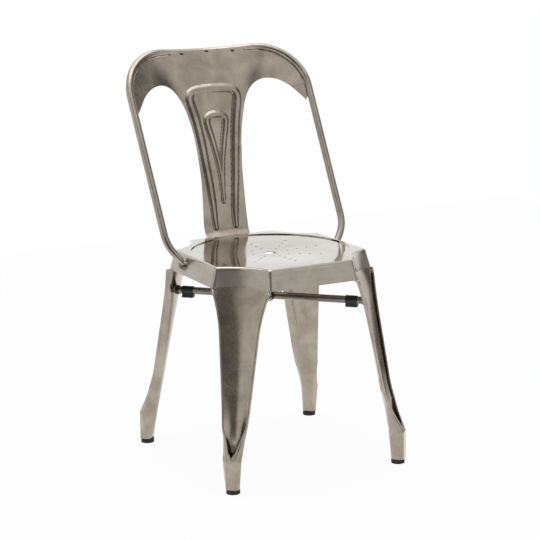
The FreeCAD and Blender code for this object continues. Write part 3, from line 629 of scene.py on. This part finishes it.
x, level = np.array([p.x for p in points]), np.array([p.y for p in points])
depth = sheet_depth(x, level)
slope_x, slope_z = slope(SLOPE_STEP, 0.0), slope(0.0, SLOPE_STEP)
facing = np.column_stack([slope_x, -np.ones_like(x), slope_z])
facing /= np.linalg.norm(facing, axis=1)[:, None]
front = np.column_stack([x, depth - MIDDLE_Y, level])
back = front - facing * SHEET
count = len(front)
triangles = []
for a, b, c in faces:
    across = (front[b] - front[a]), (front[c] - front[a])
    if np.cross(*across)[1] > 0:
        b, c = c, b
    triangles.append((a, b, c))
sides = {side: True for a, b, c in triangles for side in ((a, b), (b, c), (c, a))}
open_sides = [side for side in sides if (side[1], side[0]) not in sides]
skin = triangles + [(c + count, b + count, a + count) for a, b, c in triangles]
skin += [(b, a, a + count, b + count) for a, b in open_sides]
panel_mesh = bpy.data.meshes.new("pressed_panel")
panel_mesh.from_pydata((np.vstack([front, back]) * MM).tolist(), [], skin)
panel_mesh.shade_smooth()
both = np.vstack([facing, -facing])
normals = []
for face in panel_mesh.polygons:
    if len(face.vertices) == 4:
        normals += [face.normal[:]] * 4
    else:
        normals += [both[v] for v in face.vertices]
panel_mesh.normals_split_custom_set(normals)
panel = bpy.data.objects.new("pressed_panel", panel_mesh)
bpy.context.scene.collection.objects.link(panel)
panel_mesh.materials.append(sheet_steel)
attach(panel, "root")
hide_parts("back_panel")
print("pressed panel spans", [round(v, 3) for v in panel.dimensions])

# %% [markdown]
# ## Rolled edges of the legs
#
# Each leg is a channel whose free edges are rolled over a wire, so that no
# hand meets raw sheet. The roll runs down one side, round the pointed arch
# above the foot, and up the other side. A round section swept along that
# path gives the thin bright line with its dark partner that edges the legs.

# %% Leg shape
LEG_TOP, SOCK_TOP, ARCH_TOP, KICK_START = 406.5, 70.0, 133.0, 180.0
KICK_WIDTH, WIDTH_GROWTH = 63.5, 0.167
FLARE, FLARE_START = 27.08, 310.0
SOCK_LEVEL, SOCK_WIDTH, SOCK_GROWTH = 10.0, 30.5, 0.162
SHANK_START, SHANK_RISE = 80.0, 60.0
EDGE_IN, ARCH_NARROWING = 4.3, 0.15

# Reach at the top, splay, and how far the foot kicks out
FRONT_LEG = (207.3, 0.190, 20.4)
REAR_LEG = (210.6, 0.2009, 23.1)


def leg_rim(leg, z):
    """Reach of a leg's open edge along its diagonal."""
    reach, splay, kick = leg
    bend = max(0.0, (KICK_START - z) / (KICK_START - SOCK_TOP))
    return reach + splay * (LEG_TOP - z) + kick * bend ** 2


def leg_width(z):
    """Width of a leg: a tapered shank with a flared top, and a narrow sock."""
    shank = KICK_WIDTH + WIDTH_GROWTH * (z - KICK_START)
    shank += FLARE * max(0.0, (z - FLARE_START) / (LEG_TOP - FLARE_START)) ** 2
    sock = SOCK_WIDTH + SOCK_GROWTH * (z - SOCK_LEVEL)
    share = smooth((z - SHANK_START) / SHANK_RISE)
    return shank * share + sock * (1 - share)


def mouth_half(z):
    """Half width of the channel's open mouth, a pointed arch at its foot."""
    rise = (z - SOCK_TOP) / (ARCH_TOP - SOCK_TOP)
    open_half = leg_width(z) / 2 - EDGE_IN
    if rise >= 1:
        return open_half
    return open_half * math.sqrt(max(rise, 0)) * (1 - ARCH_NARROWING * (1 - rise))


def on_leg(angle, reach, across, z):
    """A point of a leg, in metres, from its reach along the diagonal."""
    c, s = math.cos(math.radians(angle)), math.sin(math.radians(angle))
    return Vector((reach * c - across * s, reach * s + across * c - MIDDLE_Y, z)) * MM


print("leg is", round(leg_width(300)), "mm wide at 300 mm")

# %% [markdown]
# The rolled edges, and the smaller edges and beads further on, are all bars
# swept along a path. One function sweeps a bar and another makes an object
# of it that rides on the chair.

# %% Bars and pieces
BAR_SIDES = 10
NEARLY_UPRIGHT = 0.05


def rod_mesh(path, radius, sides=BAR_SIDES):
    """Vertices and faces of a round bar swept along points in metres."""
    verts, quads = [], []
    for i, spot in enumerate(path):
        way = (path[min(i + 1, len(path) - 1)] - path[max(i - 1, 0)]).normalized()
        wide = way.cross(Vector((0, 0, 1)))
        wide = wide.normalized() if wide.length > NEARLY_UPRIGHT else Vector((1, 0, 0))
        deep = way.cross(wide)
        for k in range(sides):
            turn = 2 * math.pi * k / sides
            verts.append(spot + (wide * math.cos(turn) + deep * math.sin(turn)) * radius)
    for i in range(len(path) - 1):
        for k in range(sides):
            a, b = i * sides + k, i * sides + (k + 1) % sides
            quads.append((a, b, b + sides, a + sides))
    last = (len(path) - 1) * sides
    quads += [tuple(reversed(range(sides))), tuple(range(last, last + sides))]
    return verts, quads


def piece(name, parts, finish):
    """One object from several vertex and face lists, riding on the chair."""
    verts, quads = [], []
    for part_verts, part_quads in parts:
        start = len(verts)
        verts += part_verts
        quads += [tuple(v + start for v in quad) for quad in part_quads]
    mesh = bpy.data.meshes.new(name)
    mesh.from_pydata(verts, [], quads)
    build = bmesh.new()
    build.from_mesh(mesh)
    bmesh.ops.recalc_face_normals(build, faces=build.faces)
    build.to_mesh(mesh)
    build.free()
    mesh.shade_smooth()
    mesh.materials.append(finish)
    made = bpy.data.objects.new(name, mesh)
    bpy.context.scene.collection.objects.link(made)
    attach(made, "root")
    return made


print("a bar has", BAR_SIDES, "sides")

# %% [markdown]
# The path of a rolled edge goes by level, with the levels close together at
# the point of the arch, where the opening widens fastest.

# %% Rolled edges
ROLL_RADIUS = 2.0
ROLL_IN, ROLL_OUT = 0.1, 1.3
ARCH_STEPS, SHANK_STEPS = 14, 24
TOP_CLEARANCE = 3
LEGS = {"front_left": (FRONT_LEG, -135), "front_right": (FRONT_LEG, -45),
        "rear_left": (REAR_LEG, 135), "rear_right": (REAR_LEG, 45)}
roll_levels = [
    SOCK_TOP + (ARCH_TOP - SOCK_TOP) * (step / ARCH_STEPS) ** 2 for step in range(ARCH_STEPS + 1)
]
roll_levels += [
    ARCH_TOP + (LEG_TOP - TOP_CLEARANCE - ARCH_TOP) * step / SHANK_STEPS
    for step in range(1, SHANK_STEPS + 1)
]
for corner, (leg, angle) in LEGS.items():
    path = []
    for side in (-1, 1):
        run = []
        for z in roll_levels:
            half = max(mouth_half(z), 0.0) + ROLL_OUT * smooth((z - SOCK_TOP) / 10)
            run.append(on_leg(angle, leg_rim(leg, z) - ROLL_IN, side * half, z))
        path += list(reversed(run)) if side < 0 else run[1:]
    bar = rod_mesh(path, ROLL_RADIUS * MM)
    piece("rolled_edge_" + corner, [bar], tube_steel)
print("rolled edges on", len(LEGS), "legs")

# %% [markdown]
# ## Turned edge of the wings
#
# Where the wings lie beside the tube, the sheet's edge is turned over. It
# shows as one more bright line and closes the slit between sheet and tube.

# %% Turned edge
TURN_RADIUS = 1.7
TURN_BACK = 0.6
spots = [p for p in wing_side if p.x > OVERLAP_HALF]
depths = sheet_depth(np.array([p.x for p in spots]), np.array([p.y for p in spots]))
for name, side in (("left", -1), ("right", 1)):
    path = [
        Vector((side * p.x, d + TURN_BACK - MIDDLE_Y, p.y)) * MM for p, d in zip(spots, depths)
    ]
    bar = rod_mesh(path, TURN_RADIUS * MM)
    piece("turned_edge_" + name, [bar], tube_steel)
print("turned edges on both wings")

# %% [markdown]
# ## Lap of the skirt over the legs
#
# At each corner a tongue of the skirt hangs over the top of the leg and is
# spot welded there. The tongue's lower edge is dressed smooth, which leaves
# a thin round bead along the lap.

# %% Lap beads
TONGUE_BOTTOM = 397.0
DECK, SKIRT_BOTTOM, SKIRT_FLARE = 447.0, 405.5, 11.0
LAP_RADIUS, LAP_IN, LAP_RISE = 0.9, 0.2, 0.4
LAP_STEPS, LAP_MARGIN = 24, 0.08
FRONT_CORNER = (Vector((97.6, -179.2)), Vector((177.6, -96.3)))
REAR_CORNER = (Vector((100.6, 181.0)), Vector((174.4, 105.6)))
DECK_HOLLOW, HOLLOW_GROWTH = 13.0, 7.0


def tongue_corner(front, side):
    """Ends of the hollow corner at the tongue's lower edge, and its hollow."""
    part = (DECK - TONGUE_BOTTOM) / (DECK - SKIRT_BOTTOM)
    grow = SKIRT_FLARE * part
    slide = grow * math.tan(math.radians(22.5))
    first, second = FRONT_CORNER if front else REAR_CORNER
    away = -1 if front else 1
    ends = first + Vector((slide, away * grow)), second + Vector((grow, away * slide))
    return [Vector((side * p.x, p.y)) for p in ends], DECK_HOLLOW + HOLLOW_GROWTH * part


for corner in LEGS:
    side = 1 if corner.endswith("right") else -1
    (a, b), hollow = tongue_corner(corner.startswith("front"), side)
    middle, chord = (a + b) / 2, b - a
    inward = -middle.normalized()
    path = []
    for step in range(LAP_STEPS + 1):
        t = LAP_MARGIN + (1 - 2 * LAP_MARGIN) * step / LAP_STEPS
        sag = hollow * (1 - (2 * t - 1) ** 2)
        spot = a + chord * t + inward * (sag - LAP_IN)
        path.append(Vector((spot.x, spot.y - MIDDLE_Y, TONGUE_BOTTOM + LAP_RISE)) * MM)
    bar = rod_mesh(path, LAP_RADIUS * MM)
    piece("lap_bead_" + corner, [bar], tube_steel)
print("lap beads on", len(LEGS), "corners")

# %% [markdown]
# ## Weld tacks on the hoop
#
# Three small tacks hold the panel's top edge to the tube. A tack is a low
# round heap of weld, slightly longer along the seam than across it.

# %% Tacks
TACK_SPREAD = 62.0
TACK_LONG, TACK_HIGH = 4.2, 2.4
TACK_RISE, TACK_SAG, TACK_OUT = 0.6, 2.0, 0.3
TACK_RINGS, TACK_AROUND = 5, 14
TACK_UNEVEN = 0.12


def tack(x):
    """Vertices and faces of one heap of weld, at a distance from the middle."""
    level = PANEL_TOP - TACK_SAG * (x / TACK_SPREAD) ** 2 + TACK_RISE
    depth = float(sheet_depth(np.array([x]), np.array([level]))[0])
    middle = Vector((x, depth - TACK_OUT - MIDDLE_Y, level))
    verts, quads = [], []
    for ring in range(TACK_RINGS):
        angle = math.pi * (ring + 0.5) / TACK_RINGS
        for k in range(TACK_AROUND):
            turn = 2 * math.pi * k / TACK_AROUND
            wide = math.sin(angle) * (1 + TACK_UNEVEN * math.sin(3 * turn + x))
            verts.append((middle + Vector((
                TACK_LONG * wide * math.cos(turn),
                -TACK_HIGH * math.cos(angle),
                TACK_HIGH * wide * math.sin(turn),
            ))) * MM)
    for ring in range(TACK_RINGS - 1):
        for k in range(TACK_AROUND):
            a, b = ring * TACK_AROUND + k, ring * TACK_AROUND + (k + 1) % TACK_AROUND
            quads.append((a, b, b + TACK_AROUND, a + TACK_AROUND))
    last = (TACK_RINGS - 1) * TACK_AROUND
    quads += [tuple(range(TACK_AROUND)), tuple(range(last, last + TACK_AROUND))]
    return verts, quads


heaps = [tack(x) for x in (-TACK_SPREAD, 0.0, TACK_SPREAD)]
tacks = piece("seam_tacks", heaps, weld_metal)
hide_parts("panel_tacks")
print("tacks", round(TACK_SPREAD), "mm apart")

# %% [markdown]
# ## Dressing the frame
#
# Every node of the frame takes one finish, chosen by how its name starts.
# The nodes that a piece above stands for are dressed too, so that none is
# left bare.

# %% Dress the frame
DRESS = {
    "seat_pan": seat_steel,
    "back_hoop": tube_steel,
    "brace_long": brace_steel,
    "brace_half": brace_steel,
    "back_panel": sheet_steel,
    "leg": sheet_steel,
    "foot": rubber,
    "bumper": plastic,
    "hoop_": zinc_painted_shade,
    "panel_tacks": weld_metal,
    "brace_leg_welds": weld_metal,
    "brace_cross_welds": weld_metal,
}
for name, node in nodes.items():
    finish = next(DRESS[start] for start in DRESS if name.startswith(start))
    node.data.materials.clear()
    node.data.materials.append(finish)
print("dressed", len(nodes), "nodes")
